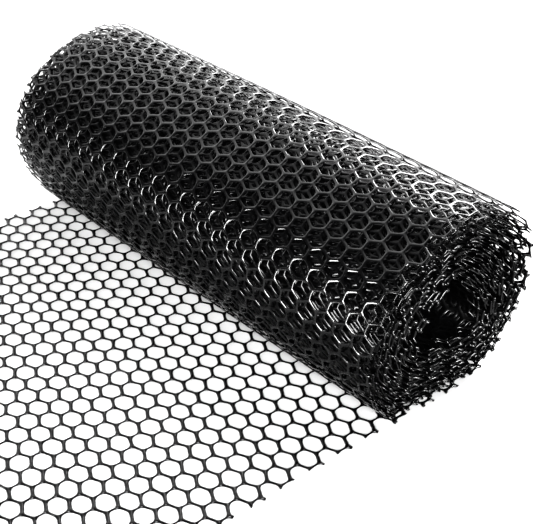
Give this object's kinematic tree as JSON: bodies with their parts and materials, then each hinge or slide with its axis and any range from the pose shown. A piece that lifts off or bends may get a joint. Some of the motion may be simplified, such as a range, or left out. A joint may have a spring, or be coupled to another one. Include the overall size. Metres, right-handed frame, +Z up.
{
  "type": "roll of plastic mesh fencing",
  "caption": "Loosely wound roll of black plastic net with hexagonal gaps, slumped to a flat spot, its hollow eye open and its loose end lying flat in front.",
  "frame": {"origin": "under the middle of the whole object's box, on the surface that it lies on", "axes": "+Z up from that surface, +X across the net and along the roll, and the loose end runs out towards -Y"},
  "size_m": [0.4, 0.3808, 0.1494],
  "materials": {
    "wound_net": "black extruded polyethylene with a satin gloss",
    "loose_net": "black extruded polyethylene with a satin gloss"
  },
  "bodies": {
    "root": {"roll": "wound_net", "loose_end": "loose_net"}
  },
  "joints": []
}
